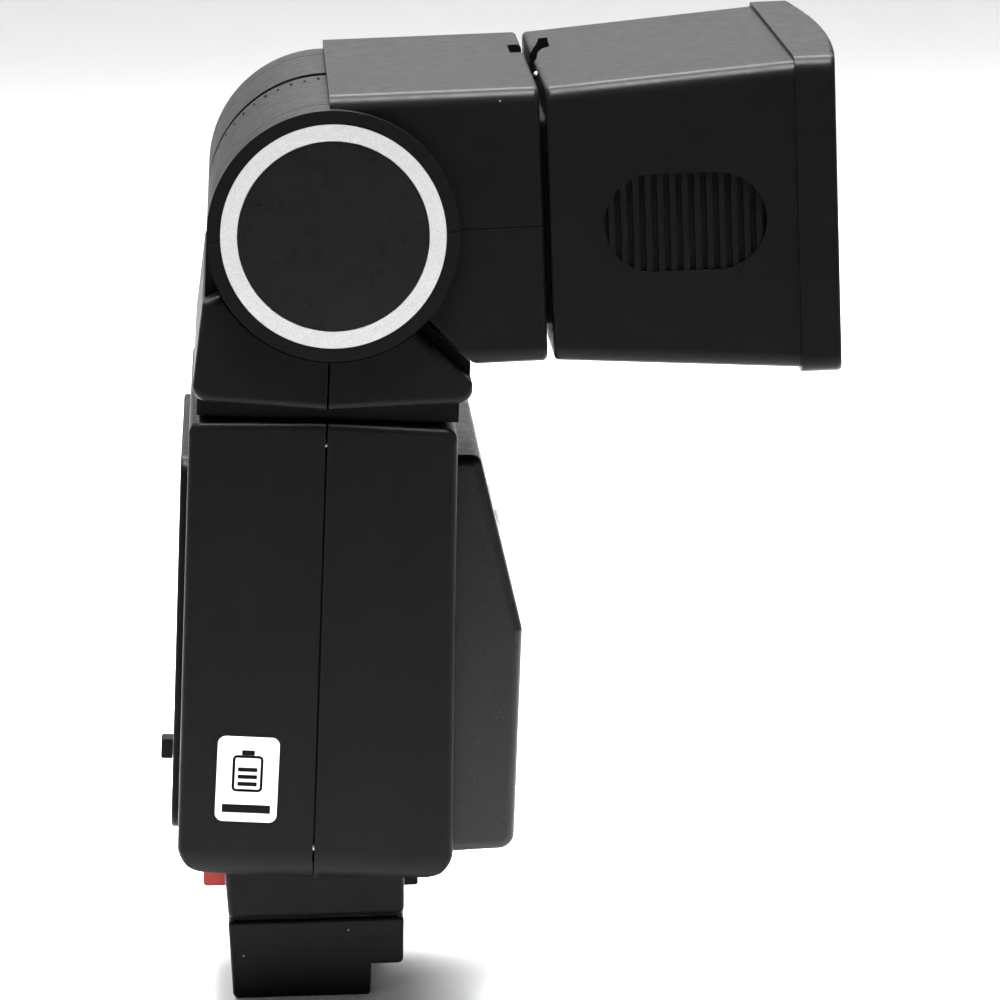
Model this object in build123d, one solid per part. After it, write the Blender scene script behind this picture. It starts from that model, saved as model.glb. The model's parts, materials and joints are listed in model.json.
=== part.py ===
"""Compact speedlight flash: shoe foot, leaning battery body, swivel yoke, tilting head and pull-out zoom front.

Millimetres. +X is the way the lamp points, +Y is the flash's left, +Z is up. The origin is the middle of
the foot's underside. The body leans forward from the foot, and the head is pitched up a little.
"""

from build123d import *
from math import cos, radians, sin
import os

# Overall layout
LEAN = 3.2  # forward lean of the body, degrees
HEAD_PITCH = 1.0  # upward pitch of the head at rest, degrees
BODY_BASE = 24.15  # height of the body's lowest edge above the foot's underside
TILT_HEIGHT = 98.3  # tilt axis above the body's lowest edge, along the lean
WALL = 2.0
SEAM = 0.3  # width of the groove between two shells
CLEAR = 0.3  # between parts that pass each other
FIT = 0.06  # running clearance of a pin in its hole

# Battery body
BODY_HALF = 35.0
BODY_REAR = -20.3
FRONT_LOW = 21.0
FRONT_HIGH = 19.3
BODY_TOP = 70.35
MOULD_DROP = 1.2  # how far the bottom faces fall away from the seam
TOP_DROP = 0.5  # how far the roof falls away from the seam
BODY_EDGE = 1.2
BOTTOM_ROUND = 4.5
HEEL_ROUND = 5.0  # the long lower edges of the two sides

# Rear panel and its controls
PANEL_OUT = -21.4
PANEL_HALF = 28.0
PANEL_LOW = 5.9
PANEL_HIGH = 62.9
KNOB_OUT = -23.3
KNOB_SIZE = (3.6, 3.0)
KNOB_HEIGHT = 15.0
MODE_OUT = -21.3  # the mode switch sits sunk in its pocket
POWER_Y = -12.0
MODE_Y = 12.0
SWITCH_TRAVEL = 4.0
STEM = (2.4, 2.0)
BUTTON_R = 3.2
BUTTON_HEIGHT = 29.0
LAMP_R = 2.0
LAMP_Y = 12.0

# Front housing
NOSE_HALF = 28.0
NOSE_OUT = 30.4
NOSE_CREASE = 38.2
NOSE_TOP = 64.5
NOSE_WALL = 1.6
WINDOW = (26.0, 17.0)  # width and height of the red window
WINDOW_HEIGHT = 20.0
SENSOR_R = 3.2

# Foot
FOOT_HALF = 12.5
FOOT_TOP = 12.2
GROOVE = 0.5
LIP_HALF = 8.0
LIP_TOP = 1.7
SLOT_HALF = 9.4
SLOT_TOP = 4.4
POCKET_HALF = 6.6
POCKET_TOP = 7.2
SLOT_END = -9.0
LOCK_R = 1.2
LOCK_X = -4.0

# Battery compartment
CELL_R = 7.1
CELL_LENGTH = 49.0
CELL_LOW = 11.5
CELL_X = 7.6
CELL_Y = (8.4, 23.6)
DOOR_HALF = 16.0
DOOR_LOW = 7.5
DOOR_HIGH = 64.0
DOOR_PIVOT_Y = 33.8
DOOR_BARREL_R = 1.2

# Swivel and yoke, measured from the tilt axis
BARREL_R = 18.5
BARREL_HALF = 29.8
YOKE_HALF = 35.5
HUB_R = 9.0
HUB_BORE = 6.0
FLANGE_TOP = 66.2  # top of the hub's flange, above the body's lowest edge
AXLE_R = 7.0
YOKE_FLOOR = -23.8
SCALE_Y = -0.6
RIB_GROOVE_Y = 6.2

# Head, measured from the tilt axis
HEAD_REAR = 0.3
HEAD_FRONT = 30.75
HEAD_SIZE = (71.0, 40.7)  # width and height
DISC_FACE = 37.3
DISC_RECESS = 0.7
RING_R = (14.05, 16.5)
EAR_IN = 30.1
CAVITY_BACK = 21.2

# Zoom front, measured from the tilt axis
ZOOM_REAR = 31.7
ZOOM_FRONT = 68.0
ZOOM_REAR_SIZE = (71.4, 40.5)
ZOOM_FRONT_SIZE = (73.2, 45.5)
BEZEL_FRONT = 73.8
BEZEL_SIZE = (74.2, 46.8)
BEZEL_BULGE = 2.0
CARRIER = (62.0, 31.0)  # outer width and height of the lamp carrier
CARRIER_FRONT = 50.0
GRIP_X = 51.5
GRIP_Z = -0.2
GRIP_SIZE = (23.8, 14.5)
GRIP_DEPTH = 0.9
GRIP_RIBS = 13
GRIP_PITCH = 1.8
GRIP_RIB = 0.9
# The crooked notch in the housing's rear edge, (x, y) from the middle of that edge
NOTCH = [
    (-1, -2.4),
    (0.5, -1.0),
    (1.1, 6.7),
    (1.9, 10.1),
    (3.2, 12.2),
    (3.4, 23.4),
    (2.1, 23.4),
    (1.4, 17),
    (0.3, 9.5),
    (-1, 8),
]
DETENT_R = 0.7
DETENT_PLACE = (ZOOM_REAR + 0.1, -10.5, 18.9)

BODY = Location((0, 0, BODY_BASE), (0, LEAN, 0))
YOKE = BODY * Location((0, 0, TILT_HEIGHT))
HEAD = Location(YOKE.position, (0, -HEAD_PITCH, 0))
BIG = 200.0  # longer than the whole object


def outline(corners):
    """A closed outline of (x, z, corner radius)."""
    shape = Polygon(*[(x, z) for x, z, _ in corners], align=None)
    for x, z, radius in corners:
        if radius:
            corner = shape.vertices().sort_by_distance((x, z))[0]
            shape = fillet(corner, radius)
    return shape


def across(shape, half, edge=0):
    """An XZ outline extruded half each way along Y, its two end faces rounded off."""
    solid = extrude(Plane.XZ * shape, amount=half, both=True)
    if not edge:
        return solid
    ends = solid.faces().sort_by(Axis.Y)
    return fillet(ends[0].edges() + ends[-1].edges(), edge)


def span(low, high):
    """The box between two corners."""
    size = [b - a for a, b in zip(low, high)]
    middle = [(a + b) / 2 for a, b in zip(low, high)]
    return Pos(*middle) * Box(*size)


def rod(radius, start, end, axis="Z"):
    """A cylinder between two points that differ only along one axis."""
    turned = {"X": Rot(0, 90, 0), "Y": Rot(-90, 0, 0), "Z": Rot(0, 0, 0)}[axis]
    index = "XYZ".index(axis)
    middle = [(a + b) / 2 for a, b in zip(start, end)]
    return Pos(*middle) * turned * Cylinder(radius, abs(end[index] - start[index]))


def along_x(size, radius, low, high):
    """A rounded rectangle, width by height, extruded from low to high along X."""
    section = Plane.YZ.offset(low) * RectangleRounded(*size, radius)
    return extrude(section, amount=high - low)


def both_sides(part):
    """A part and its mirror image in the XZ plane."""
    return part + mirror(part, Plane.XZ)


def ahead(part):
    """The half of a part in front of the seam."""
    return part & span((SEAM / 2, -BIG, -BIG), (BIG, BIG, BIG))


def behind(part):
    """The half of a part behind the seam."""
    return part & span((-BIG, -BIG, -BIG), (-SEAM / 2, BIG, BIG))


# ---------------------------------------------------------------- battery body


def body_outline(inset, rounds):
    bottom, top = rounds
    high = BODY_TOP - TOP_DROP
    return outline(
        [
            (0, inset, 0),
            (FRONT_LOW - inset, MOULD_DROP + inset, bottom),
            (FRONT_HIGH - inset, high - inset, top),
            (0, BODY_TOP - inset, 0),
            (BODY_REAR + inset, high - inset, top),
            (BODY_REAR + inset, MOULD_DROP + inset, bottom),
        ]
    )


def heel_cutters(inset):
    """What rounds off the long lower edges of the two sides, moved in by inset."""
    half, radius = BODY_HALF - inset, HEEL_ROUND - inset / 2
    low = inset
    corner = Pos(0, half - radius, low + radius)
    block = corner * Pos(0, radius, -radius) * Box(BIG, 2 * radius, 2 * radius)
    return both_sides(block - corner * Rot(0, 90, 0) * Cylinder(radius, 2 * BIG))


def body_envelope():
    return across(body_outline(0, (BOTTOM_ROUND, 2.0)), BODY_HALF, BODY_EDGE) - heel_cutters(0)


def body_cavity():
    return across(body_outline(WALL, (2.5, 0)), BODY_HALF - WALL) - heel_cutters(WALL)


def door_opening():
    low = DOOR_LOW - DOOR_BARREL_R - CLEAR
    return span((-DOOR_HALF - CLEAR, BODY_HALF - 3, low), (DOOR_HALF + CLEAR, BIG, DOOR_HIGH + CLEAR))


def switch_slot(y, travel_low, travel_high):
    reach = STEM[0] / 2 + CLEAR
    low = (BODY_REAR - 3, y + travel_low - reach, KNOB_HEIGHT - STEM[1] / 2 - CLEAR)
    high = (BODY_REAR + WALL + 1, y + travel_high + reach, KNOB_HEIGHT + STEM[1] / 2 + CLEAR)
    return span(low, high)


def panel_holes():
    holes = switch_slot(POWER_Y, 0, SWITCH_TRAVEL)
    holes += switch_slot(MODE_Y, -SWITCH_TRAVEL, SWITCH_TRAVEL)
    ends = (BODY_REAR - 3, 0, BUTTON_HEIGHT), (BODY_REAR + WALL + 1, 0, BUTTON_HEIGHT)
    holes += rod(BUTTON_R + FIT, *ends, "X")
    ends = (BODY_REAR - 3, LAMP_Y, BUTTON_HEIGHT), (BODY_REAR + WALL + 1, LAMP_Y, BUTTON_HEIGHT)
    return holes + rod(LAMP_R, *ends, "X")


BODY_SCREWS = [(y, z) for y in (-31.0, 31.0) for z in (5.0, 66.4)]


def body_screw(y, z, clearance=0):
    head = rod(1.5 + clearance, (BODY_REAR - 1, y, z), (BODY_REAR + 1.3, y, z), "X")
    shank = rod(0.9 + clearance, (BODY_REAR, y, z), (6, y, z), "X")
    return head + shank


def body_screws():
    driver = [Pos(BODY_REAR, y, z) * cross_recess() for y, z in BODY_SCREWS]
    screws = [body_screw(y, z) & span((BODY_REAR, -BIG, -BIG), (BIG, BIG, BIG)) for y, z in BODY_SCREWS]
    return Compound([screw - cut for screw, cut in zip(screws, driver)])


def cross_recess():
    return Box(1.6, 2.2, 0.5) + Box(1.6, 0.5, 2.2)


def body_shell():
    shell = body_envelope() - body_cavity()
    for y, z in BODY_SCREWS:
        shell += rod(2.4, (BODY_REAR + 1, y, z), (FRONT_HIGH - 1, y, z), "X") & body_envelope()
    for y, z in BODY_SCREWS:
        shell -= body_screw(y, z)
    shell -= rod(HUB_R + FIT, (0, 0, BODY_TOP - 5), (0, 0, BODY_TOP + 5))
    shell -= span((-7, -7, -5), (7, 7, 5))
    return shell - door_opening() - panel_holes()


def seam_lip():
    ring = body_cavity()
    ring -= across(body_outline(WALL + 1.2, (2.5, 0)), BODY_HALF - WALL - 1.2)
    lip = ring & span((-2.5, -BIG, -BIG), (1.4, BIG, BIG))
    lip -= rod(HUB_R + 5, (0, 0, BODY_TOP - 9), (0, 0, BODY_TOP))
    lip -= span((-8, -8, -5), (8, 8, 8))
    for y, z in BODY_SCREWS:
        lip -= rod(2.6, (-3, y, z), (5, y, z), "X")
    return lip - door_opening()


def body_rear_shell():
    shell = behind(body_shell()) + seam_lip() + door_lugs() - door_pin_bores()
    for y, z in BODY_SCREWS:
        shell -= body_screw(y, z)
    return shell


def body_front_shell():
    return ahead(body_shell()) - door_pin_bores()


def rear_panel():
    section = Plane.YZ.offset(PANEL_OUT) * Pos(0, (PANEL_LOW + PANEL_HIGH) / 2)
    section *= RectangleRounded(2 * PANEL_HALF, PANEL_HIGH - PANEL_LOW, 3)
    panel = extrude(section, amount=BODY_REAR - PANEL_OUT)
    rim = panel.faces().sort_by(Axis.X)[0].edges()
    panel = fillet(rim, 0.5) - panel_holes() - mode_pocket()
    return panel - card_blank(0)


def card_blank(clearance):
    low, high = 37.0 + clearance, 59.0 - clearance
    half = PANEL_HALF - 5 - clearance
    return span((PANEL_OUT - 1, -half, low), (PANEL_OUT + 0.4, half, high))


def exposure_card():
    return card_blank(0.1) & span((PANEL_OUT + 0.1, -BIG, 0), (BIG, BIG, BIG))


def slide_knob(y, out, root):
    """A switch knob with three finger grooves, and its stem through the wall."""
    width, height = KNOB_SIZE
    knob = span((out, y - width / 2, KNOB_HEIGHT - height / 2), (root, y + width / 2, KNOB_HEIGHT + height / 2))
    knob = fillet(knob.faces().sort_by(Axis.X)[0].edges(), 0.3)
    for step in (-1.0, 0, 1.0):
        knob -= Pos(out, y + step, KNOB_HEIGHT) * Box(0.6, 0.4, 2 * height)
    low = (root - 0.1, y - STEM[0] / 2, KNOB_HEIGHT - STEM[1] / 2)
    high = (BODY_REAR + WALL + 1, y + STEM[0] / 2, KNOB_HEIGHT + STEM[1] / 2)
    return knob + span(low, high)


def mode_pocket():
    reach = SWITCH_TRAVEL + KNOB_SIZE[0] / 2 + CLEAR
    height = KNOB_SIZE[1] / 2 + CLEAR
    low = (PANEL_OUT - 1, MODE_Y - reach, KNOB_HEIGHT - height)
    return span(low, (BODY_REAR, MODE_Y + reach, KNOB_HEIGHT + height))


def test_button():
    stem = rod(BUTTON_R, (PANEL_OUT, 0, BUTTON_HEIGHT), (BODY_REAR + WALL + 0.5, 0, BUTTON_HEIGHT), "X")
    stem = fillet(stem.faces().sort_by(Axis.X)[0].edges(), 0.4)
    collar_x = BODY_REAR + WALL + CLEAR
    return stem + rod(BUTTON_R + 1.2, (collar_x, 0, BUTTON_HEIGHT), (collar_x + 1, 0, BUTTON_HEIGHT), "X")


def ready_lamp():
    body = rod(LAMP_R, (PANEL_OUT, LAMP_Y, BUTTON_HEIGHT), (BODY_REAR + WALL + 1, LAMP_Y, BUTTON_HEIGHT), "X")
    return fillet(body.faces().sort_by(Axis.X)[0].edges(), 0.6)


# ---------------------------------------------------------------- battery door


def door_lugs():
    lug = span((DOOR_HALF + CLEAR, 30.5, 5.0), (DOOR_HALF + 2.3, BODY_HALF - 1, 10.5))
    return behind(mirror(lug, Plane.YZ) & body_envelope())


def door_pin_bores():
    ends = (-DOOR_HALF - 3, DOOR_PIVOT_Y, DOOR_LOW), (DOOR_HALF + 3, DOOR_PIVOT_Y, DOOR_LOW)
    return rod(0.6, *ends, "X")


def door_pin():
    ends = (-DOOR_HALF - 2, DOOR_PIVOT_Y, DOOR_LOW), (DOOR_HALF + 2, DOOR_PIVOT_Y, DOOR_LOW)
    return rod(0.6, *ends, "X")


def battery_door():
    plate = span((-DOOR_HALF, BODY_HALF - WALL, DOOR_LOW), (DOOR_HALF, BODY_HALF, DOOR_HIGH))
    ends = (-DOOR_HALF, DOOR_PIVOT_Y, DOOR_LOW), (DOOR_HALF, DOOR_PIVOT_Y, DOOR_LOW)
    door = plate + rod(DOOR_BARREL_R, *ends, "X")
    for step in range(5):
        door -= Pos(0, BODY_HALF, DOOR_HIGH - 4 - 1.6 * step) * Box(14, 1.0, 0.8)
    return door - rod(0.6 + FIT, *ends, "X")


# ---------------------------------------------------------------- inside the body


def battery_cells():
    cells = []
    for x in (-CELL_X, CELL_X):
        for y in CELL_Y:
            cell = rod(CELL_R, (x, y, CELL_LOW), (x, y, CELL_LOW + CELL_LENGTH))
            cell = fillet(cell.edges().filter_by(GeomType.CIRCLE), 0.5)
            up = 1 if (x > 0) == (y == CELL_Y[0]) else -1
            start = CELL_LOW + CELL_LENGTH if up > 0 else CELL_LOW
            cells.append(cell + rod(2.7, (x, y, start - 0.5 * up), (x, y, start + 1.4 * up)))
    return Compound(cells)


def battery_cage():
    outer = span((-16.2, -0.9, 8.2), (16.2, 31.6, 63.8))
    return outer - span((-15.0, 0.6, 9.4), (15.0, BIG, 62.6))


def battery_contacts():
    plates = []
    for x in (-CELL_X, CELL_X):
        plates.append(span((x - 5, 4, 9.4), (x + 5, 28, 9.9)))
    for y in CELL_Y:
        plates.append(span((-12, y - 5, 62.1), (12, y + 5, 62.6)))
    return Compound(plates)


def main_board():
    board = span((-16, -4.6, 8), (16, -3.0, 60))
    chips = [(-9, 20, 7, 7), (6, 24, 9, 5), (-4, 44, 5, 9), (9, 48, 6, 6)]
    for x, z, width, height in chips:
        board += Pos(x, -2.4, z) * Box(width, 1.4, height)
    return board


def main_capacitor():
    can = rod(11.0, (0, -18.5, 10), (0, -18.5, 56))
    return fillet(can.edges().filter_by(GeomType.CIRCLE), 1.0)


def transformer():
    core = span((-6, -27, 57), (2, -17, 64.5))
    return core + span((-5, -28, 58.5), (1, -16, 63))


def bearing_ring():
    """The ring under the roof that the swivel hub's flange turns against."""
    ring = rod(HUB_R + 5, (0, 0, FLANGE_TOP + 0.2), (0, 0, BODY_TOP)) - rod(HUB_R + FIT, (0, 0, 0), (0, 0, BIG))
    return ring & body_cavity()


# ---------------------------------------------------------------- front housing


def nose_outline(inset, back):
    return outline(
        [
            (back, NOSE_TOP - inset, 0),
            (23.1 - inset, NOSE_TOP - inset, 1.5),
            (NOSE_OUT - inset, NOSE_CREASE - inset, 1.5),
            (NOSE_OUT - inset, 4.3 + inset, 2.5),
            (back, 3.2 + inset, 0),
        ]
    )


def sensor_hole(depth_in, depth_out):
    slope = Plane(
        origin=((23.2 + NOSE_OUT) / 2, 0, (NOSE_TOP + NOSE_CREASE) / 2),
        z_dir=(NOSE_TOP - NOSE_CREASE, 0, NOSE_OUT - 23.2),
    )
    return slope.offset((depth_out - depth_in) / 2) * Cylinder(SENSOR_R, depth_in + depth_out)


def window_blank(back, front):
    low = (back, -WINDOW[0] / 2, WINDOW_HEIGHT - WINDOW[1] / 2)
    return span(low, (front, WINDOW[0] / 2, WINDOW_HEIGHT + WINDOW[1] / 2))


def front_housing():
    housing = across(nose_outline(0, 17.5), NOSE_HALF, 1.5)
    housing -= across(nose_outline(NOSE_WALL, 10.0), NOSE_HALF - NOSE_WALL)
    housing -= window_blank(NOSE_OUT - 3, BIG)
    return housing - sensor_hole(4, 3) - body_envelope()


def red_window():
    pane = window_blank(NOSE_OUT - NOSE_WALL, NOSE_OUT)
    pane = fillet(pane.faces().sort_by(Axis.X)[-1].edges(), 0.3)
    for step in range(-5, 6):
        pane -= Pos(NOSE_OUT - NOSE_WALL, 2.2 * step, WINDOW_HEIGHT) * Box(0.8, 1.1, WINDOW[1] * 2)
    return pane


def sensor_lens():
    return sensor_hole(NOSE_WALL, 0.4)


# ---------------------------------------------------------------- foot


def foot_block():
    block = across(
        outline(
            [(-12.9, FOOT_TOP + GROOVE, 1.2), (14.1, FOOT_TOP + GROOVE, 1.2), (14.6, 29, 0), (-13.9, 29, 0)]
        ),
        FOOT_HALF + 0.6,
        1.0,
    )
    block += fillet(span((13, -3, 14.7), (16.6, 3, 17.2)).edges().filter_by(Axis.Y), 0.5)
    block += span((-12, -11.5, FOOT_TOP), (13, 11.5, FOOT_TOP + 1))
    block -= BODY * body_envelope()
    block -= span((-20, -5.1, 15.7), (-6.5, 5.1, 20.3))
    block -= rod(LOCK_R + FIT, (LOCK_X, 0, 0), (LOCK_X, 0, 30))
    for screw in foot_screw_set():
        block -= screw
    return block - span((LOCK_X - 2.5, -2.5, 14.5), (LOCK_X + 2.5, 2.5, 22.5))


def shoe_foot():
    foot = across(
        outline(
            [
                (-12.5, 0, 1.0),
                (8.6, 0, 0.6),
                (8.9, 4.9, 0),
                (13.8, 4.9, 0.8),
                (14.1, FOOT_TOP, 0.5),
                (-13.0, FOOT_TOP, 0.5),
            ]
        ),
        FOOT_HALF,
        0.5,
    )
    foot -= span((SLOT_END, -LIP_HALF, -1), (BIG, LIP_HALF, LIP_TOP + 1))
    foot -= span((SLOT_END, -SLOT_HALF, LIP_TOP), (BIG, SLOT_HALF, SLOT_TOP))
    foot -= span((SLOT_END + 2, -POCKET_HALF, LIP_TOP), (12.0, POCKET_HALF, POCKET_TOP))
    foot -= rod(LOCK_R + FIT, (LOCK_X, 0, 0), (LOCK_X, 0, 30))
    for x, y in contact_places():
        foot -= rod(0.6, (x, y, POCKET_TOP - 1), (x, y, POCKET_TOP + 3))
    for screw in foot_screw_set():
        foot -= screw
    return foot


def contact_places():
    return [(x, y) for x in (2.5, 7.5) for y in (-4.2, -1.4, 1.4, 4.2)]


def shoe_contacts():
    pins = [rod(0.6, (x, y, POCKET_TOP - 1.6), (x, y, POCKET_TOP + 3)) for x, y in contact_places()]
    return Compound(pins)


def shoe_release():
    cap = fillet(span((-16.7, -4.8, 16.0), (-12.5, 4.8, 20.0)).edges().filter_by(Axis.Y), 0.6)
    return cap + span((-13, -3.5, 17.0), (-9.5, 3.5, 19.0))


def lock_pin():
    pin = rod(LOCK_R, (LOCK_X, 0, 2.6), (LOCK_X, 0, 18.4))
    pin = chamfer(pin.faces().sort_by(Axis.Z)[0].edges(), 0.4)
    return pin + rod(2.0, (LOCK_X, 0, 14.8), (LOCK_X, 0, 16.2))


def foot_screw_set():
    places = [(x, y) for x in (-10.6, 9.5) for y in (-8.8, 8.8)]
    return [rod(1.0, (x, y, SLOT_TOP + 3), (x, y, 21)) for x, y in places]


def foot_screws():
    return Compound(foot_screw_set())


# ---------------------------------------------------------------- yoke


def yoke_block():
    block = outline(
        [
            (-20.1, -25.3, 2.2),
            (0.3, -26.2, 0),
            (21.3, -24.4, 2.0),
            (21.2, -21.5, 1.0),
            (11.0, -12.4, 0),
            (-14.5, -8.6, 0),
            (-18.8, -10.8, 0.8),
        ]
    )
    block = across(block, YOKE_HALF, 1.2)
    tongue = Circle(BARREL_R) + Polygon(
        (-BARREL_R, 0),
        (-BARREL_R, -19.4),
        (-19.2, -19.4),
        (-19.2, -24.0),
        (21.0, -24.0),
        (21.0, -19.3),
        (13.0, -12.7),
        (0, 0),
        align=None,
    )
    gap = rod(BARREL_R + 0.45, (0, -BIG, 0), (0, BIG, 0), "Y")
    return (block - gap) + across(tongue, BARREL_HALF)


def scale_recess():
    """A shallow sunk band that is deepest half way round the barrel's upper back."""
    ring = rod(BARREL_R + 3, (0, 3.6, 0), (0, RIB_GROOVE_Y, 0), "Y")
    ring -= Pos(0.8, 0, -0.8) * rod(BARREL_R + 0.35, (0, 3, 0), (0, 8, 0), "Y")
    return ring & span((-BIG, -BIG, 0), (0, BIG, BIG))


def scale_marks():
    marks = []
    for step in range(13):
        long = step % 2 == 0
        mark = Pos(BARREL_R, SCALE_Y, 0) * Box(0.5, 3.2 if long else 1.8, 0.36)
        marks.append(Rot(0, -(97 + 6.6 * step), 0) * mark)
    return marks


def yoke_shell():
    shell = yoke_block()
    cavity = Circle(BARREL_R - WALL) + Pos(0, YOKE_FLOOR / 2) * Rectangle(2 * (BARREL_R - WALL), -YOKE_FLOOR)
    shell -= across(cavity, BARREL_HALF - WALL)
    shell -= rod(HUB_R, (0, 0, -30), (0, 0, -20))
    shell -= both_sides(rod(AXLE_R, (0, 26, 0), (0, 32, 0), "Y"))
    groove = rod(BARREL_R + 1, (0, RIB_GROOVE_Y - 0.4, 0), (0, RIB_GROOVE_Y + 0.4, 0), "Y")
    groove -= rod(BARREL_R - 0.8, (0, 0, 0), (0, 12, 0), "Y")
    groove &= span((-BIG, -BIG, -8), (BIG, BIG, BIG))
    shell -= groove + scale_recess()
    for mark in scale_marks():
        shell -= mark
    return shell


def swivel_collar():
    plate = outline(
        [(-19.2, -27.75, 0), (19.4, -27.75, 0), (19.4, -24.7, 0), (0.3, -26.3, 0), (-19.2, -25.45, 0)]
    )
    return across(plate, 33.0) - rod(HUB_R, (0, 0, -BIG), (0, 0, BIG))


def swivel_hub():
    high = FLANGE_TOP - TILT_HEIGHT
    hub = rod(HUB_R, (0, 0, high), (0, 0, -21.8)) + rod(HUB_R + 4, (0, 0, high - 2), (0, 0, high))
    return hub - rod(HUB_BORE, (0, 0, -BIG), (0, 0, BIG))


def hub_nut():
    nut = Pos(0, 0, YOKE_FLOOR) * extrude(RegularPolygon(12.5, 6), amount=1.6)
    return nut - rod(HUB_R, (0, 0, -BIG), (0, 0, BIG))


def tilt_axle(side):
    axle = rod(AXLE_R, (0, 26, 0), (0, 34.6, 0), "Y") + rod(AXLE_R + 2.6, (0, 26, 0), (0, 27.8, 0), "Y")
    axle -= rod(4.5, (0, 20, 0), (0, 40, 0), "Y")
    return axle if side > 0 else mirror(axle, Plane.XZ)


def detent_plate():
    disc = rod(15.0, (0, 25.0, 0), (0, 26.0, 0), "Y") - rod(4.5, (0, 20, 0), (0, 40, 0), "Y")
    for step in range(6):
        angle = radians(15 * step + 90)
        x, z = 12.5 * cos(angle), 12.5 * sin(angle)
        disc -= rod(1.2, (x, 24, z), (x, 27, z), "Y")
    return disc


# ---------------------------------------------------------------- head


def head_envelope():
    box = along_x(HEAD_SIZE, 2.5, HEAD_REAR, HEAD_FRONT)
    box = fillet(box.faces().sort_by(Axis.X)[-1].edges(), 0.8)
    cut = Polygon((-1, -13.05), (13.4, -13.05), (21.2, -21.65), (-1, -21.65), align=None)
    ears = both_sides(rod(BARREL_R, (0, EAR_IN, 0), (0, DISC_FACE, 0), "Y"))
    return (box - across(cut, BIG)) + ears


def head_shell():
    shell = head_envelope()
    shell -= rod(BARREL_R + 0.45, (0, -EAR_IN, 0), (0, EAR_IN, 0), "Y")
    shell -= along_x((67.0, 36.7), 1.0, CAVITY_BACK, BIG)
    shell -= rod(5.0, (0, 0, 0), (BIG, 0, 0), "X") & span((10, -BIG, -BIG), (25, BIG, BIG))
    shell -= both_sides(rod(AXLE_R + FIT, (0, 20, 0), (0, 34.9, 0), "Y"))
    shell -= both_sides(rod(RING_R[1], (0, DISC_FACE - DISC_RECESS, 0), (0, 40, 0), "Y"))
    for side in (-1, 1):
        shell -= head_screw(side, 0.1)
    return shell - span((HEAD_FRONT - 2.2, 7, 15), (BIG, 17, BIG))


def head_upper_shell():
    return head_shell() & span((-BIG, -BIG, 0.05), (BIG, BIG, BIG))


def head_lower_shell():
    return head_shell() & span((-BIG, -BIG, -BIG), (BIG, BIG, -0.05))


def hinge_ring(side):
    ring = rod(RING_R[1] - 0.02, (0, DISC_FACE - DISC_RECESS, 0), (0, DISC_FACE, 0), "Y")
    ring -= rod(RING_R[0], (0, 30, 0), (0, 40, 0), "Y")
    return ring if side > 0 else mirror(ring, Plane.XZ)


def hinge_cap(side):
    cap = rod(RING_R[0] - 0.08, (0, DISC_FACE - DISC_RECESS, 0), (0, DISC_FACE - 0.1, 0), "Y")
    return cap if side > 0 else mirror(cap, Plane.XZ)


def lamp_carrier():
    carrier = along_x(CARRIER, 1.5, CAVITY_BACK, CARRIER_FRONT)
    carrier -= along_x((CARRIER[0] - 3, CARRIER[1] - 3), 0.8, CAVITY_BACK + 1.6, BIG)
    flange = along_x((66.8, 36.5), 1.0, CAVITY_BACK, CAVITY_BACK + 1.6)
    return (carrier + flange) - rod(4.0, (0, 0, 0), (30, 0, 0), "X")


def reflector():
    """Half an elliptic trough with end plates, open to the front."""
    front, reach, height, sheet = 48.0, 21.0, 12.6, 0.8
    place = Pos(front, 0)
    inner = across(place * Ellipse(reach, height), 26.4)
    outer = across(place * Ellipse(reach + sheet, height + sheet), 26.4 + sheet)
    trough = (outer - inner) & span((0, -BIG, -BIG), (front, BIG, BIG))
    return trough - rod(3.0, (31.5, -BIG, 0), (31.5, BIG, 0), "Y")


def flash_tube():
    return rod(2.2, (31.5, -28.6, 0), (31.5, 28.6, 0), "Y")


def tube_grommets():
    sleeve = rod(2.95, (31.5, 26.0, 0), (31.5, 29.3, 0), "Y") - rod(2.2, (31.5, 20, 0), (31.5, 28.6, 0), "Y")
    return Compound([sleeve, mirror(sleeve, Plane.XZ)])


def trigger_board():
    return span((23.0, -24, -11), (24.2, 24, 11)) - rod(4.0, (20, 0, 0), (30, 0, 0), "X")


def head_screw(side, clearance=0):
    """One screw up through the lower shell beside the hinge, or its hole."""
    x, y, head_low = 18.6, 32.8 * side, -16.0
    drop = 9 if clearance else 0
    head = rod(1.8 + clearance, (x, y, head_low - drop), (x, y, head_low + 1.2))
    return head + rod(0.9, (x, y, head_low), (x, y, 8))


def head_screws():
    return Compound([head_screw(side) for side in (-1, 1)])


# ---------------------------------------------------------------- zoom front


def flared_box(inset, rear, front, radius):
    """The tapering box of the zoom front between two places along X, its walls moved in by inset."""
    sections = []
    for x in (rear, front):
        share = (x - ZOOM_REAR) / (ZOOM_FRONT - ZOOM_REAR)
        size = [a + (b - a) * share - 2 * inset for a, b in zip(ZOOM_REAR_SIZE, ZOOM_FRONT_SIZE)]
        sections.append(Plane.YZ.offset(x) * RectangleRounded(*size, radius))
    return loft(sections)


def grip_ribs():
    """The ribs of one side grip, trimmed to its oval."""
    side = ZOOM_REAR_SIZE[0] / 2 + (ZOOM_FRONT_SIZE[0] - ZOOM_REAR_SIZE[0]) / 4
    place = Plane.XZ.offset(side - GRIP_DEPTH - 0.5) * Pos(GRIP_X, GRIP_Z)
    oval = extrude(place * SlotOverall(*GRIP_SIZE), amount=GRIP_DEPTH + 0.35)
    ribs = []
    for step in range(GRIP_RIBS):
        x = GRIP_X + (step - (GRIP_RIBS - 1) / 2) * GRIP_PITCH
        ribs.append(Pos(x, -side, GRIP_Z) * Box(GRIP_RIB, 4, GRIP_SIZE[1]))
    return [rib & oval for rib in ribs]


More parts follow.
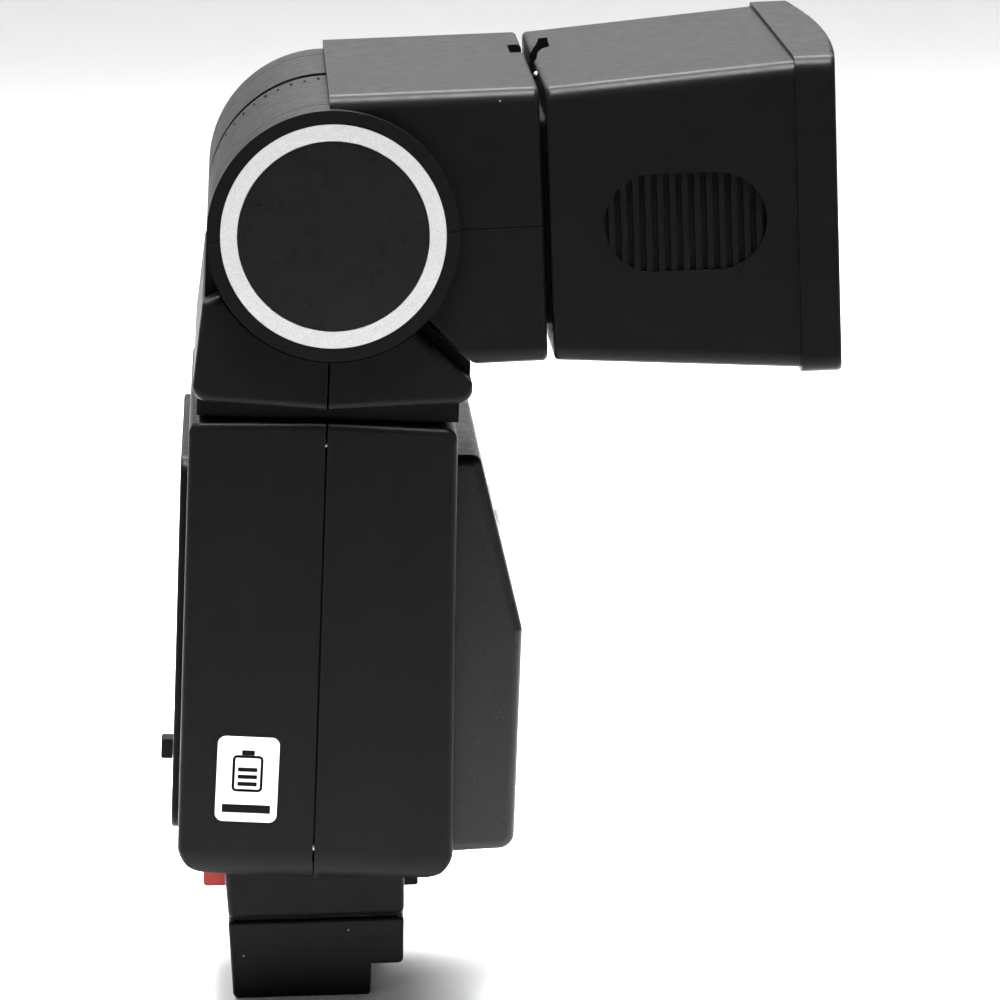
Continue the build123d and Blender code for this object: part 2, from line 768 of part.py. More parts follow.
def grip_recess():
    side = ZOOM_REAR_SIZE[0] / 2 + (ZOOM_FRONT_SIZE[0] - ZOOM_REAR_SIZE[0]) / 4
    place = Plane.XZ.offset(side - GRIP_DEPTH) * Pos(GRIP_X, GRIP_Z)
    return extrude(place * SlotOverall(*GRIP_SIZE), amount=5)


def zoom_housing():
    box = flared_box(0, ZOOM_REAR, ZOOM_FRONT, 2.4)
    box = fillet(box.faces().sort_by(Axis.X)[0].edges(), 0.8)
    box -= flared_box(WALL, ZOOM_REAR + WALL, ZOOM_FRONT, 1.2)
    box -= along_x((CARRIER[0] + 0.3, CARRIER[1] + 0.3), 1.6, ZOOM_REAR - 1, ZOOM_REAR + WALL + 1)
    box -= Pos(ZOOM_REAR, 0, 15) * extrude(Polygon(*NOTCH, align=None), amount=20)
    box -= both_sides(grip_recess())
    box -= rod(DETENT_R, DETENT_PLACE, (ZOOM_REAR + 1.2, *DETENT_PLACE[1:]), "X")
    box -= Pos(*DETENT_PLACE) * Sphere(DETENT_R)
    for rib in grip_ribs():
        box += rib
        box += mirror(rib, Plane.XZ)
    return box


def bezel_arc(front):
    """A tall disc whose rim is the bowed front of the bezel."""
    half = BEZEL_SIZE[0] / 2
    radius = (half**2 + BEZEL_BULGE**2) / (2 * BEZEL_BULGE)
    return rod(radius, (front + BEZEL_BULGE - radius, 0, -30), (front + BEZEL_BULGE - radius, 0, 30))


def front_bezel():
    bezel = along_x(BEZEL_SIZE, 2.6, ZOOM_FRONT, BEZEL_FRONT + BEZEL_BULGE)
    bezel &= bezel_arc(BEZEL_FRONT)
    bezel = fillet(bezel.faces().sort_by(Axis.X)[-1].edges(), 0.7)
    bezel -= along_x((66.0, 38.0), 1.5, ZOOM_FRONT - 1, BIG)
    spigot = along_x((68.6, 40.9), 1.0, ZOOM_FRONT - 3, ZOOM_FRONT)
    spigot -= along_x((66.0, 38.0), 1.0, ZOOM_FRONT - 4, ZOOM_FRONT + 1)
    return bezel + spigot


def fresnel_lens():
    lens = along_x((66.0, 38.0), 1.5, ZOOM_FRONT, BEZEL_FRONT + BEZEL_BULGE)
    return (lens & bezel_arc(BEZEL_FRONT - 1.0)) - bezel_arc(BEZEL_FRONT - 3.2)


def zoom_detent():
    """The small sprung steel ball that clicks into the head's top edge."""
    return Pos(*DETENT_PLACE) * Sphere(DETENT_R)


# ---------------------------------------------------------------- all parts


def rating_label():
    """The plain paper sticker on the right side."""
    plate = Rot(0, 1.0, 0) * across(outline([(x, z, 1.2) for x, z in LABEL_CORNERS]), 0.07)
    return Pos(-10.2, -BODY_HALF - 0.07, 16.0) * plate


LABEL_CORNERS = [(-4.6, -6.5), (4.6, -6.5), (4.6, 6.5), (-4.6, 6.5)]

IN_BODY = {
    "body_rear_shell": body_rear_shell,
    "body_front_shell": body_front_shell,
    "body_screws": body_screws,
    "rear_panel": rear_panel,
    "exposure_card": exposure_card,
    "power_switch": lambda: slide_knob(POWER_Y, KNOB_OUT, PANEL_OUT - 0.1),
    "mode_switch": lambda: slide_knob(MODE_Y, MODE_OUT, BODY_REAR - 0.1),
    "test_button": test_button,
    "ready_lamp": ready_lamp,
    "battery_door": battery_door,
    "door_pin": door_pin,
    "battery_cells": battery_cells,
    "battery_cage": battery_cage,
    "battery_contacts": battery_contacts,
    "main_board": main_board,
    "main_capacitor": main_capacitor,
    "transformer": transformer,
    "bearing_ring": bearing_ring,
    "front_housing": front_housing,
    "red_window": red_window,
    "sensor_lens": sensor_lens,
    "rating_label": rating_label,
}
ON_FOOT = {
    "foot_block": foot_block,
    "shoe_foot": shoe_foot,
    "shoe_contacts": shoe_contacts,
    "shoe_release": shoe_release,
    "lock_pin": lock_pin,
    "foot_screws": foot_screws,
}
IN_YOKE = {
    "yoke_rear_shell": lambda: behind(yoke_shell()),
    "yoke_front_shell": lambda: ahead(yoke_shell()),
    "swivel_collar": swivel_collar,
    "swivel_hub": swivel_hub,
    "hub_nut": hub_nut,
    "tilt_axle_left": lambda: tilt_axle(1),
    "tilt_axle_right": lambda: tilt_axle(-1),
    "detent_plate": detent_plate,
}
IN_HEAD = {
    "head_upper_shell": head_upper_shell,
    "head_lower_shell": head_lower_shell,
    "hinge_ring_left": lambda: hinge_ring(1),
    "hinge_ring_right": lambda: hinge_ring(-1),
    "hinge_cap_left": lambda: hinge_cap(1),
    "hinge_cap_right": lambda: hinge_cap(-1),
    "lamp_carrier": lamp_carrier,
    "reflector": reflector,
    "flash_tube": flash_tube,
    "tube_grommets": tube_grommets,
    "trigger_board": trigger_board,
    "head_screws": head_screws,
    "zoom_housing": zoom_housing,
    "front_bezel": front_bezel,
    "fresnel_lens": fresnel_lens,
    "zoom_detent": zoom_detent,
}


def main():
    os.makedirs("parts", exist_ok=True)
    groups = ((BODY, IN_BODY), (Location(), ON_FOOT), (YOKE, IN_YOKE), (HEAD, IN_HEAD))
    for place, parts in groups:
        for node, make in parts.items():
            export_step(place * make(), f"parts/{node}.step")


main()
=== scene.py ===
import json
import math

import bmesh
import bpy
from mathutils import Matrix, Vector


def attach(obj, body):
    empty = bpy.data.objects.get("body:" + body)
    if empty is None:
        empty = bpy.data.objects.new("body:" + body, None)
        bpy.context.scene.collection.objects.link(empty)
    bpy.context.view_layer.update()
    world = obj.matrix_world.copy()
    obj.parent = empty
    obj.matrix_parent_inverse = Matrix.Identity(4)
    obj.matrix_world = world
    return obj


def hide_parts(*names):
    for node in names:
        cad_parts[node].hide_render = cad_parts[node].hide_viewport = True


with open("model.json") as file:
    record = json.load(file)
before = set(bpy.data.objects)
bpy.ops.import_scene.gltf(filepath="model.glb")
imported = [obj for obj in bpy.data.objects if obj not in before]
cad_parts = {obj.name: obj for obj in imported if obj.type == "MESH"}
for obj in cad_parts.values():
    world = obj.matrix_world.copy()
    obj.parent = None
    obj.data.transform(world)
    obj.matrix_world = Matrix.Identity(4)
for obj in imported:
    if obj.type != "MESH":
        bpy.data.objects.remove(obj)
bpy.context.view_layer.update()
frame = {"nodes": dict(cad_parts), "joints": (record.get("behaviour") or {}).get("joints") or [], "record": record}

MM = 0.001
NODES = frame["nodes"]
JOINTS = {joint["name"]: joint for joint in frame["joints"]}

# The camera of the product shot
CAMERA_TARGET = Vector((30.6, 0.0, 74.85)) * MM
CAMERA_DISTANCE = 849.3 * MM
CAMERA_AZIMUTH = -2.417  # degrees, 0 looks along +Y
CAMERA_ELEVATION = 11.663
CAMERA_ROLL = 1.064
CAMERA_LENS = 198.43  # mm
SENSOR_WIDTH = 36.0  # mm
CAMERA_CLIP = (0.05, 20)  # metres


# ------------------------------------------------------------------ local frames


def axes_matrix(x_axis, origin):
    """Row frame from a local frame whose X is x_axis and whose Y is +Y."""
    x = Vector(x_axis).normalized()
    y = Vector((0, 1, 0))
    z = x.cross(y)
    matrix = Matrix((x, y, z)).transposed().to_4x4()
    matrix.translation = Vector(origin)
    return matrix


TILT_ORIGIN = JOINTS["head_tilt"]["pos_m"]
HEAD = axes_matrix(JOINTS["zoom_pull"]["axis"], TILT_ORIGIN)
BODY_UP = Vector(JOINTS["head_swivel"]["axis"])
BODY_X = Vector((0, 1, 0)).cross(BODY_UP)
TILT_HEIGHT = 98.3 * MM  # tilt axis above the body's lowest edge, along the lean
BODY = axes_matrix(BODY_X, Vector(TILT_ORIGIN) - BODY_UP * TILT_HEIGHT)


# ------------------------------------------------------------------ materials


class Shader:
    """One node material, built up a node at a time."""

    def __init__(self, name):
        self.material = bpy.data.materials.new(name)
        self.material.use_nodes = True
        self.tree = self.material.node_tree
        self.surface = self.tree.nodes["Principled BSDF"]
        self.place = self.add("ShaderNodeTexCoord").outputs["Object"]

    def add(self, kind, **values):
        node = self.tree.nodes.new(kind)
        for key, value in values.items():
            setattr(node, key, value)
        return node

    def link(self, source, target):
        self.tree.links.new(source, target)

    def set(self, **values):
        for key, value in values.items():
            self.surface.inputs[key.replace("_", " ")].default_value = value

    def noise(self, scale, detail=2.0, roughness=0.5, stretch=None):
        """Noise with features about 1/scale metres across."""
        node = self.add("ShaderNodeTexNoise")
        node.inputs["Scale"].default_value = scale
        node.inputs["Detail"].default_value = detail
        node.inputs["Roughness"].default_value = roughness
        place = self.place
        if stretch:
            mapping = self.add("ShaderNodeMapping")
            mapping.inputs["Scale"].default_value = stretch
            self.link(self.place, mapping.inputs["Vector"])
            place = mapping.outputs["Vector"]
        self.link(place, node.inputs["Vector"])
        return node.outputs["Fac"]

    def ramp(self, source, stops):
        """A colour ramp of (position, colour) over source."""
        node = self.add("ShaderNodeValToRGB")
        elements = node.color_ramp.elements
        while len(elements) < len(stops):
            elements.new(0.5)
        for element, (position, colour) in zip(elements, stops):
            element.position = position
            element.color = (*colour, 1)
        self.link(source, node.inputs["Fac"])
        return node.outputs["Color"]

    def grey_ramp(self, source, low, high, start=0.3, end=0.7):
        return self.ramp(source, [(start, (low,) * 3), (end, (high,) * 3)])

    def mix(self, factor, a, b):
        node = self.add("ShaderNodeMix", data_type="RGBA")
        self.link(factor, node.inputs["Factor"])
        for value, target in ((a, node.inputs["A"]), (b, node.inputs["B"])):
            if isinstance(value, bpy.types.NodeSocket):
                self.link(value, target)
            else:
                target.default_value = (*value, 1)
        return node.outputs["Result"]

    def bump(self, source, height, strength=1.0, under=None):
        node = self.add("ShaderNodeBump")
        node.inputs["Distance"].default_value = height
        node.inputs["Strength"].default_value = strength
        self.link(source, node.inputs["Height"])
        if under:
            self.link(under, node.inputs["Normal"])
        return node.outputs["Normal"]

    def colour(self, source):
        self.link(source, self.surface.inputs["Base Color"])

    def roughness(self, source):
        self.link(source, self.surface.inputs["Roughness"])

    def normal(self, source):
        self.link(source, self.surface.inputs["Normal"])


DUST_CELLS = 130  # cells per metre, each of which may hold a speck
DUST_SIZE = 0.022
DUST_COLOUR = (0.16, 0.16, 0.16)


def dust(shader, scale, size):
    """1 inside rare tiny specks, 0 elsewhere."""
    cells = shader.add("ShaderNodeTexVoronoi")
    cells.inputs["Scale"].default_value = scale
    shader.link(shader.place, cells.inputs["Vector"])
    near = shader.grey_ramp(cells.outputs["Distance"], 1, 0, size * 0.6, size)
    rare = shader.grey_ramp(shader.noise(scale * 0.7), 0, 1, 0.56, 0.6)
    both = shader.add("ShaderNodeMath", operation="MULTIPLY")
    shader.link(near, both.inputs[0])
    shader.link(rare, both.inputs[1])
    return both.outputs["Value"]


def moulded_black(name, dark, light, rough, grain, dusty=True, gloss=0.05):
    """Black moulded plastic with a fine grain, faint blotches and a few dust specks."""
    shader = Shader(name)
    shader.set(Specular_IOR_Level=gloss)
    blotches = shader.noise(90, detail=3)
    colour = shader.mix(blotches, (dark,) * 3, (light, light, light * 1.03))
    if dusty:
        colour = shader.mix(dust(shader, DUST_CELLS, DUST_SIZE), colour, DUST_COLOUR)
    shader.colour(colour)
    sheen = shader.noise(500, detail=3)
    shader.roughness(shader.grey_ramp(sheen, rough - 0.04, rough + 0.05))
    fine = shader.bump(shader.noise(5200, detail=2), 0.02 * MM, grain)
    shader.normal(shader.bump(shader.noise(45), 0.05 * MM, 0.15, under=fine))
    return shader.material


def silver_trim():
    """Pale blasted metal foil with a fine sparkle."""
    shader = Shader("silver_trim")
    grain = shader.noise(6500, detail=3, roughness=0.7)
    shader.colour(shader.ramp(grain, [(0.25, (0.26,) * 3), (0.75, (0.47, 0.47, 0.46))]))
    shader.set(Metallic=0.25)
    shader.roughness(shader.grey_ramp(grain, 0.45, 0.62))
    shader.normal(shader.bump(grain, 0.02 * MM, 0.5))
    return shader.material


def coloured_plastic(name, colour, rough, coat=0.0, gloss=0.5):
    shader = Shader(name)
    shader.set(Specular_IOR_Level=gloss)
    dark = tuple(c * 0.78 for c in colour)
    shader.colour(shader.mix(shader.noise(160, detail=3), dark, colour))
    shader.roughness(shader.grey_ramp(shader.noise(900), rough - 0.05, rough + 0.06))
    shader.normal(shader.bump(shader.noise(3200), 0.015 * MM, 0.5))
    shader.set(Coat_Weight=coat)
    return shader.material


def machined_metal(name, colour, rough, stretch=(1, 1, 12)):
    shader = Shader(name)
    streaks = shader.noise(900, detail=4, stretch=stretch)
    dark = tuple(c * 0.72 for c in colour)
    shader.colour(shader.mix(streaks, dark, colour))
    shader.set(Metallic=1.0)
    shader.roughness(shader.grey_ramp(streaks, rough - 0.08, rough + 0.1))
    shader.normal(shader.bump(streaks, 0.01 * MM, 0.5))
    return shader.material


def tinted_glass(name, colour, rough=0.05, transmission=0.9, gloss=0.5):
    shader = Shader(name)
    shader.colour(shader.mix(shader.noise(300), tuple(c * 0.85 for c in colour), colour))
    shader.set(Transmission_Weight=transmission, IOR=1.49, Specular_IOR_Level=gloss)
    shader.roughness(shader.grey_ramp(shader.noise(700), rough * 0.7, rough * 1.4))
    return shader.material


def printed_film(name, colour, rough):
    """Printed paper or film with a faint fibre."""
    shader = Shader(name)
    fibre = shader.noise(2600, detail=4, roughness=0.65)
    shader.colour(shader.mix(fibre, tuple(c * 0.93 for c in colour), colour))
    shader.roughness(shader.grey_ramp(fibre, rough - 0.06, rough + 0.06))
    shader.normal(shader.bump(fibre, 0.008 * MM, 0.4))
    return shader.material


def circuit_board():
    """Green lacquer with lighter tracks under it."""
    shader = Shader("circuit_board")
    tracks = shader.add("ShaderNodeTexBrick")
    tracks.inputs["Scale"].default_value = 420
    shader.link(shader.place, tracks.inputs["Vector"])
    tracks.inputs["Color1"].default_value = (0.02, 0.15, 0.05, 1)
    tracks.inputs["Color2"].default_value = (0.03, 0.2, 0.07, 1)
    tracks.inputs["Mortar"].default_value = (0.05, 0.3, 0.12, 1)
    shader.colour(tracks.outputs["Color"])
    shader.roughness(shader.grey_ramp(shader.noise(600), 0.25, 0.4))
    shader.normal(shader.bump(tracks.outputs["Fac"], 0.03 * MM, 0.5))
    return shader.material


def build_materials():
    """Every material of the object, by the name of its slot."""
    return {
        "black_plastic": moulded_black("black_plastic", 0.003, 0.0045, 0.36, 0.5),
        "smooth_black_plastic": moulded_black(
            "smooth_black_plastic", 0.003, 0.0045, 0.3, 0.2, gloss=0.18
        ),
        "dull_black_plastic": moulded_black(
            "dull_black_plastic", 0.002, 0.0035, 0.55, 0.6, dusty=False, gloss=0.05
        ),
        "silver_trim": silver_trim(),
        "white_sticker": printed_film("white_sticker", (0.74, 0.74, 0.75), 0.42),
        "card": printed_film("card", (0.035, 0.036, 0.04), 0.5),
        "red_plastic": coloured_plastic("red_plastic", (0.3, 0.012, 0.008), 0.35, gloss=0.2),
        "red_glass": tinted_glass("red_glass", (0.14, 0.002, 0.004), transmission=0.25, gloss=0.25),
        "amber_glass": tinted_glass("amber_glass", (0.8, 0.22, 0.03), transmission=0.6),
        "clear_glass": tinted_glass("clear_glass", (0.93, 0.95, 0.95)),
        "lens_plastic": tinted_glass(
            "lens_plastic", (0.95, 0.97, 0.97), rough=0.03, transmission=1.0
        ),
        "steel": machined_metal("steel", (0.55, 0.55, 0.56), 0.3),
        "contact_metal": machined_metal("contact_metal", (0.85, 0.68, 0.34), 0.25),
        "polished_reflector": machined_metal(
            "polished_reflector", (0.9, 0.9, 0.91), 0.16, stretch=(1, 10, 1)
        ),
        "circuit_board": circuit_board(),
        "cell_sleeve": coloured_plastic("cell_sleeve", (0.08, 0.13, 0.3), 0.25, coat=0.3),
        "capacitor_sleeve": coloured_plastic(
            "capacitor_sleeve", (0.02, 0.02, 0.04), 0.25, coat=0.3
        ),
        "winding": coloured_plastic("winding", (0.5, 0.36, 0.05), 0.45),
        "rubber_grommet": moulded_black("rubber_grommet", 0.01, 0.016, 0.7, 0.6, dusty=False),
        "black_ink": coloured_plastic("black_ink", (0.002, 0.002, 0.002), 0.4, gloss=0.05),
        "white_ink": printed_film("white_ink", (0.5, 0.5, 0.5), 0.5),
    }


MATERIALS = build_materials()


def finish_cad_nodes():
    """Every CAD node takes the material of its slot in the record."""
    for row in frame["record"]["subparts"]:
        node = NODES[row["node"]]
        node.data.materials.clear()
        node.data.materials.append(MATERIALS[row["material_slot"]])


# ------------------------------------------------------------------ pieces


def piece_from_bmesh(name, mesh_builder, place, material, body, smooth=False):
    """A mesh made in a local frame in millimetres, set in the row frame and riding on a body."""
    data = bpy.data.meshes.new(name)
    mesh_builder.to_mesh(data)
    mesh_builder.free()
    data.transform(place @ Matrix.Scale(MM, 4))
    for polygon in data.polygons:
        polygon.use_smooth = smooth
    data.materials.append(MATERIALS[material])
    piece = bpy.data.objects.new(name, data)
    bpy.context.scene.collection.objects.link(piece)
    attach(piece, body)
    return piece


def strip(mesh, outline, thickness, lift, turn):
    """A flat outline of 2-D points made into a thin plate; turn maps (a, b, depth) to 3-D."""
    low = [mesh.verts.new(turn(a, b, lift)) for a, b in outline]
    high = [mesh.verts.new(turn(a, b, lift + thickness)) for a, b in outline]
    count = len(outline)
    mesh.faces.new(low[::-1])
    mesh.faces.new(high)
    for i in range(count):
        j = (i + 1) % count
        mesh.faces.new((low[i], low[j], high[j], high[i]))


def rounded_loop(width, height, radius, centre=(0, 0), steps=6):
    """Points round a rectangle with rounded corners, anticlockwise."""
    points = []
    for turn, (sx, sy) in enumerate(((1, 1), (-1, 1), (-1, -1), (1, -1))):
        cx = centre[0] + sx * (width / 2 - radius)
        cy = centre[1] + sy * (height / 2 - radius)
        for step in range(steps + 1):
            angle = math.radians(90 * (turn + step / steps))
            points.append((cx + radius * math.cos(angle), cy + radius * math.sin(angle)))
    return points


def frame_loop(mesh, outer, inner, thickness, lift, turn):
    """A flat ring between two loops of equal length, made into a thin plate."""
    high = lift + thickness
    edges = ((outer, lift), (outer, high), (inner, high), (inner, lift))
    rows = [[mesh.verts.new(turn(a, b, depth)) for a, b in loop] for loop, depth in edges]
    count = len(outer)
    for first, second in zip(rows, rows[1:] + rows[:1]):
        for i in range(count):
            j = (i + 1) % count
            mesh.faces.new((first[i], first[j], second[j], second[i]))


# Sticker on the right side: its middle in the body's frame, and its turn against the body's lean
LABEL_MIDDLE = (-10.2, 16.0)
LABEL_FACE = -35.14
LABEL_TURN = math.radians(-1.0)
LABEL_INK = 0.03  # how thick the ink stands
LABEL_LINE = 0.42

# What is printed on it: width, height, corner radius and the height of its middle
CELL_OUTLINE = (4.6, 5.6, 0.7, 0.9)
CELL_CAP = (1.9, 0.75, 0.15, 4.1)
CELL_LEVELS = [(2.9, 0.62, 0.12, level) for level in (-0.7, 0.4, 1.5)]
LABEL_BAR = (7.2, 1.25, 0.05, -4.5)


def label_point(a, b, lift):
    """A point on the sticker: a along the body, b up it, lift out from its face."""
    cos, sin = math.cos(LABEL_TURN), math.sin(LABEL_TURN)
    x = LABEL_MIDDLE[0] + a * cos - b * sin
    z = LABEL_MIDDLE[1] + a * sin + b * cos
    return Vector((x, LABEL_FACE - lift, z))


def label_print():
    """A plain cell outline over a solid bar."""
    mesh = bmesh.new()
    width, height, radius, level = CELL_OUTLINE
    outer = rounded_loop(width, height, radius, (0, level))
    inner_size = width - 2 * LABEL_LINE, height - 2 * LABEL_LINE
    inner = rounded_loop(*inner_size, radius - LABEL_LINE, (0, level))
    frame_loop(mesh, outer, inner, LABEL_INK, 0.0, label_point)
    for width, height, radius, level in (CELL_CAP, *CELL_LEVELS, LABEL_BAR):
        strip(mesh, rounded_loop(width, height, radius, (0, level)), LABEL_INK, 0.0, label_point)
    piece_from_bmesh("label_print", mesh, BODY, "black_ink", "base")


# Rear panel: the card's face in the body's frame
CARD_FACE = -21.3
CARD_SPAN = (-22.0, 22.0)
CARD_HEIGHT = (38.2, 57.8)
CARD_COLUMNS, CARD_ROWS = 7, 5
CARD_INK = 0.02  # how thick the ink stands
CARD_LINE, CARD_BOLD_LINE = 0.16, 0.3
CARD_LINE_CORNER = 0.05
CARD_ROW_LIFT = 0.025  # the rows are printed over the columns


def card_point(a, b, lift):
    """A point on the card: a across the panel, b up the body, lift out from the card's face."""
    return Vector((CARD_FACE - lift, -a, b))


def card_grid():
    """The plain grid of the exposure card, with a bolder top row and first column."""
    mesh = bmesh.new()
    across, up = CARD_SPAN[1] - CARD_SPAN[0], CARD_HEIGHT[1] - CARD_HEIGHT[0]
    for column in range(CARD_COLUMNS + 1):
        line = CARD_BOLD_LINE if column < 2 else CARD_LINE
        place = (CARD_SPAN[0] + column * (across / CARD_COLUMNS), sum(CARD_HEIGHT) / 2)
        outline = rounded_loop(line, up, CARD_LINE_CORNER, place, 1)
        strip(mesh, outline, CARD_INK, 0, card_point)
    for row in range(CARD_ROWS + 1):
        line = CARD_BOLD_LINE if row > CARD_ROWS - 2 else CARD_LINE
        place = (0, CARD_HEIGHT[0] + row * (up / CARD_ROWS))
        outline = rounded_loop(across, line, CARD_LINE_CORNER, place, 1)
        strip(mesh, outline, CARD_INK, CARD_ROW_LIFT, card_point)
    piece_from_bmesh("card_grid", mesh, BODY, "white_ink", "base")


# Fresnel lens: the head's own sizes, in millimetres from the tilt axis
LENS_WIDTH = 65.8
LENS_HEIGHT = 37.8
LENS_FRONT = 72.8
LENS_THICK = 2.0
LENS_COLUMNS = 24
BOW = 2.0
BEZEL_HALF_WIDTH = 37.1
GROOVES = 42
GROOVE_DEPTH = 0.42  # at the lens's top and bottom edges
MIDDLE_SHARE = 0.25  # the middle groove's depth, as a share of that
GROOVE_GAP = 0.02
STEEP_SHARE = 0.06  # share of a groove's height that its steep side takes


def bow_at(y):
    """How far the bowed front stands behind its middle, at y."""
    radius = (BEZEL_HALF_WIDTH**2 + BOW**2) / (2 * BOW)
    return radius - math.sqrt(radius**2 - y**2)


def lens_profile():
    """(height, depth of the surface) up the lens: a saw of prisms that lean away from the middle."""
    pitch = LENS_HEIGHT / GROOVES
    points = []
    for groove in range(GROOVES):
        low = -LENS_HEIGHT / 2 + groove * pitch
        lean = (low + pitch / 2) / (LENS_HEIGHT / 2)
        depth = GROOVE_DEPTH * (MIDDLE_SHARE + (1 - MIDDLE_SHARE) * abs(lean))
        if lean > 0:
            points += [(low + GROOVE_GAP, 0.0), (low + pitch * (1 - STEEP_SHARE), depth)]
        else:
            points += [(low + pitch * STEEP_SHARE, depth), (low + pitch - GROOVE_GAP, 0.0)]
    return [(-LENS_HEIGHT / 2, 0.0), *points, (LENS_HEIGHT / 2, 0.0)]


def fresnel_lens():
    """The front lens with its real grooves on the outside, in place of the plain CAD plate."""
    mesh = bmesh.new()
    profile = lens_profile()
    fronts, backs = [], []
    for column in range(LENS_COLUMNS + 1):
        y = -LENS_WIDTH / 2 + LENS_WIDTH * column / LENS_COLUMNS
        face = LENS_FRONT + BOW - bow_at(y)
        fronts.append([mesh.verts.new((face - depth, y, z)) for z, depth in profile])
        backs.append([mesh.verts.new((face - LENS_THICK, y, z)) for z, _ in profile])
    for a, b in zip(fronts, fronts[1:]):
        for i in range(len(profile) - 1):
            mesh.faces.new((a[i], b[i], b[i + 1], a[i + 1]))
    for a, b in zip(backs, backs[1:]):
        for i in range(len(profile) - 1):
            mesh.faces.new((a[i + 1], b[i + 1], b[i], a[i]))
    for front, back, flip in ((fronts[0], backs[0], 1), (fronts[-1], backs[-1], -1)):
        for i in range(len(profile) - 1):
            mesh.faces.new((front[i], front[i + 1], back[i + 1], back[i])[::flip])
    for a, b, c, d in zip(fronts, fronts[1:], backs, backs[1:]):
        mesh.faces.new((b[0], a[0], c[0], d[0]))
        mesh.faces.new((a[-1], b[-1], d[-1], c[-1]))
    lens = piece_from_bmesh("front_lens", mesh, HEAD, "lens_plastic", "zoom_head")
    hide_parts("fresnel_lens")


# Flash tube and the wire round it, in the head's frame
TUBE_X = 31.5
TUBE_R = 2.2
WIRE_R = 0.14
WIRE_CLEAR = 0.02  # between the wire and the glass
WIRE_REACH = 24.0  # to each side of the middle
WIRE_TURNS = 9
STEPS_PER_TURN = 16
WIRE_SIDES = 6


def trigger_wire():
    """The bare wire wound round the flash tube, from end to end."""
    radius = TUBE_R + WIRE_R + WIRE_CLEAR
    steps = WIRE_TURNS * STEPS_PER_TURN
    mesh = bmesh.new()
    loops = []
    for step in range(steps + 1):
        angle = 2 * math.pi * step / STEPS_PER_TURN
        y = -WIRE_REACH + 2 * WIRE_REACH * step / steps
        out = Vector((math.cos(angle), 0, math.sin(angle)))
        middle = Vector((TUBE_X, y, 0)) + out * radius
        loop = []
        for side in range(WIRE_SIDES):
            around = 2 * math.pi * side / WIRE_SIDES
            offset = out * (WIRE_R * math.cos(around)) + Vector((0, WIRE_R * math.sin(around), 0))
            loop.append(mesh.verts.new(middle + offset))
        loops.append(loop)
    for a, b in zip(loops, loops[1:]):
        for i in range(WIRE_SIDES):
            j = (i + 1) % WIRE_SIDES
            mesh.faces.new((a[i], b[i], b[j], a[j]))
    mesh.faces.new(loops[0])
    mesh.faces.new(loops[-1][::-1])
    piece_from_bmesh("trigger_wire", mesh, HEAD, "steel", "head", smooth=True)


# ------------------------------------------------------------------ stage, light, camera


# The stage is in metres
FLOOR_NEAR = -2.2
WALL_Y = 1.6
WALL_TOP = 2.4
FLOOR_BEND = 0.7  # radius between the floor and the wall
FLOOR_HALF = 4.0
BEND_STEPS = 16


def make_floor():
    """A plain pale floor that runs up into a pale wall behind the object."""
    mesh = bmesh.new()
    line = [(FLOOR_NEAR, 0.0), (WALL_Y - FLOOR_BEND, 0.0)]
    for step in range(1, BEND_STEPS + 1):
        angle = math.radians(90 * step / BEND_STEPS)
        y = WALL_Y - FLOOR_BEND + FLOOR_BEND * math.sin(angle)
        line.append((y, FLOOR_BEND * (1 - math.cos(angle))))
    line.append((WALL_Y, WALL_TOP))
    rows = [[mesh.verts.new((x, y, z)) for y, z in line] for x in (-FLOOR_HALF, FLOOR_HALF)]
    left, right = rows
    for i in range(len(line) - 1):
        mesh.faces.new((left[i], right[i], right[i + 1], left[i + 1]))
    data = bpy.data.meshes.new("floor")
    mesh.to_mesh(data)
    mesh.free()
    for polygon in data.polygons:
        polygon.use_smooth = True
    floor = bpy.data.objects.new("floor", data)
    bpy.context.scene.collection.objects.link(floor)
    shader = Shader("pale_floor")
    shader.colour(shader.mix(shader.noise(3), (0.9, 0.9, 0.9), (0.93, 0.93, 0.93)))
    shader.set(Roughness=0.7)
    data.materials.append(shader.material)


def soft_light(name, position, target, size, power, spread=180):
    """A rectangular lamp at a position, turned to a target; spread is in degrees."""
    data = bpy.data.lights.new(name, "AREA")
    data.shape = "RECTANGLE"
    data.size, data.size_y = size
    data.energy = power
    data.spread = math.radians(spread)
    light = bpy.data.objects.new(name, data)
    light.location = position
    toward = Vector(target) - Vector(position)
    light.rotation_euler = toward.to_track_quat("-Z", "Y").to_euler()
    bpy.context.scene.collection.objects.link(light)


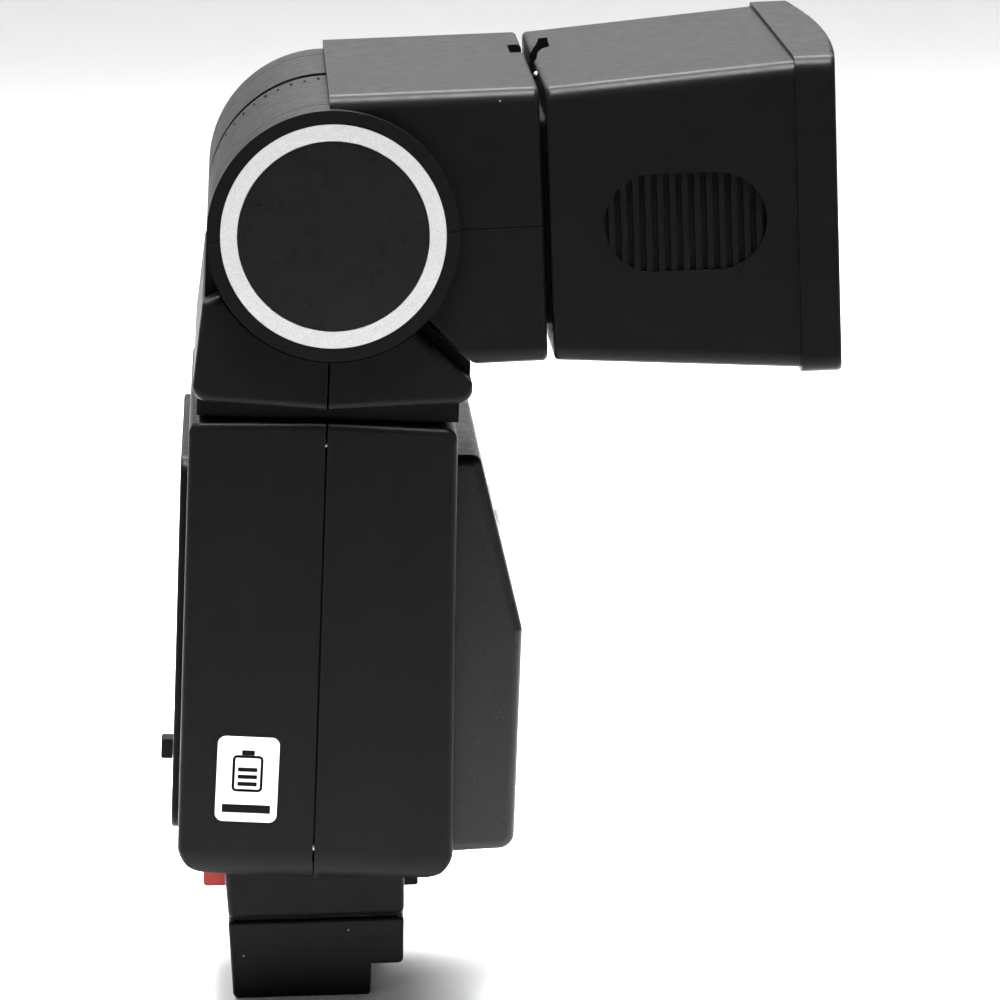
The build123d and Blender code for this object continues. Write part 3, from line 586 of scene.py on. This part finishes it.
OBJECT_MIDDLE = (0.03, 0, 0.08)
WALL_FOOT = (0.0, 1.3, 0.0)
FLOOR_BEHIND = (0.05, 0.25, 0.0)
SIDE_LAMP = (0.6, 0.8)
WORLD_STRENGTH = 0.01


def make_lights():
    """Soft lamps round the object and, behind it, lamps for the wall and the floor."""
    soft_light("overhead", (0.03, -0.1, 0.75), OBJECT_MIDDLE, (0.4, 0.3), 3.2, spread=46)
    soft_light("left", (-1.0, -0.85, 0.45), OBJECT_MIDDLE, SIDE_LAMP, 1.9)
    soft_light("right", (1.05, -0.85, 0.45), OBJECT_MIDDLE, SIDE_LAMP, 1.9)
    soft_light("backdrop", (0.0, 0.3, 1.3), WALL_FOOT, (2.5, 0.5), 20)
    soft_light("floor_light", (0.05, 0.8, 1.0), FLOOR_BEHIND, (1.2, 0.5), 13, spread=80)
    world = bpy.data.worlds.new("studio")
    world.use_nodes = True
    background = world.node_tree.nodes["Background"]
    background.inputs["Color"].default_value = (1, 1, 1, 1)
    background.inputs["Strength"].default_value = WORLD_STRENGTH
    bpy.context.scene.world = world


def make_camera():
    """The camera on its azimuth and elevation round the target, rolled about its own axis."""
    azimuth, elevation = math.radians(CAMERA_AZIMUTH), math.radians(CAMERA_ELEVATION)
    level = math.cos(elevation)
    back = Vector((math.sin(azimuth) * level, -math.cos(azimuth) * level, math.sin(elevation)))
    data = bpy.data.cameras.new("camera")
    data.lens = CAMERA_LENS
    data.sensor_width = SENSOR_WIDTH
    data.clip_start, data.clip_end = CAMERA_CLIP
    camera = bpy.data.objects.new("camera", data)
    camera.location = CAMERA_TARGET + back * CAMERA_DISTANCE
    roll = Matrix.Rotation(math.radians(-CAMERA_ROLL), 3, back)
    look = (-back).to_track_quat("-Z", "Y").to_matrix()
    camera.rotation_mode = "QUATERNION"
    camera.rotation_quaternion = (roll @ look).to_quaternion()
    bpy.context.scene.collection.objects.link(camera)
    bpy.context.scene.camera = camera


make_camera()
finish_cad_nodes()
label_print()
card_grid()
fresnel_lens()
trigger_wire()
make_floor()
make_lights()
bpy.context.scene.view_settings.view_transform = "Standard"
